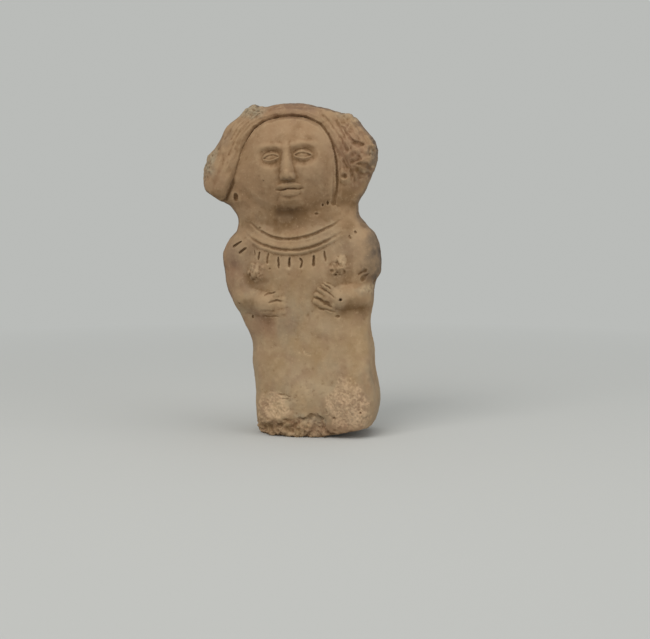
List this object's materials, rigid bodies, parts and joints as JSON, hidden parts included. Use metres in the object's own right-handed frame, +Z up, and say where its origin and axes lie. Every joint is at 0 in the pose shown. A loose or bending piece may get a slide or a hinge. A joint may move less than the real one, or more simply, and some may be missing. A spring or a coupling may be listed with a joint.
{
  "type": "terracotta seated figurine",
  "caption": "Hand-modelled terracotta seated figurine with a collar necklace, hands on the body and legs broken away, standing on its worn underside.",
  "frame": {"origin": "on the flat of the worn underside, below the middle of the body, where the figurine rests", "axes": "+Z up, -Y the way the figure faces, +X towards the figure's own left"},
  "size_m": [0.0652, 0.0353, 0.1201],
  "materials": {
    "terracotta": "matt, unglazed buff fired clay with earth in the hollows"
  },
  "bodies": {
    "root": {"figurine": "terracotta"}
  },
  "joints": []
}
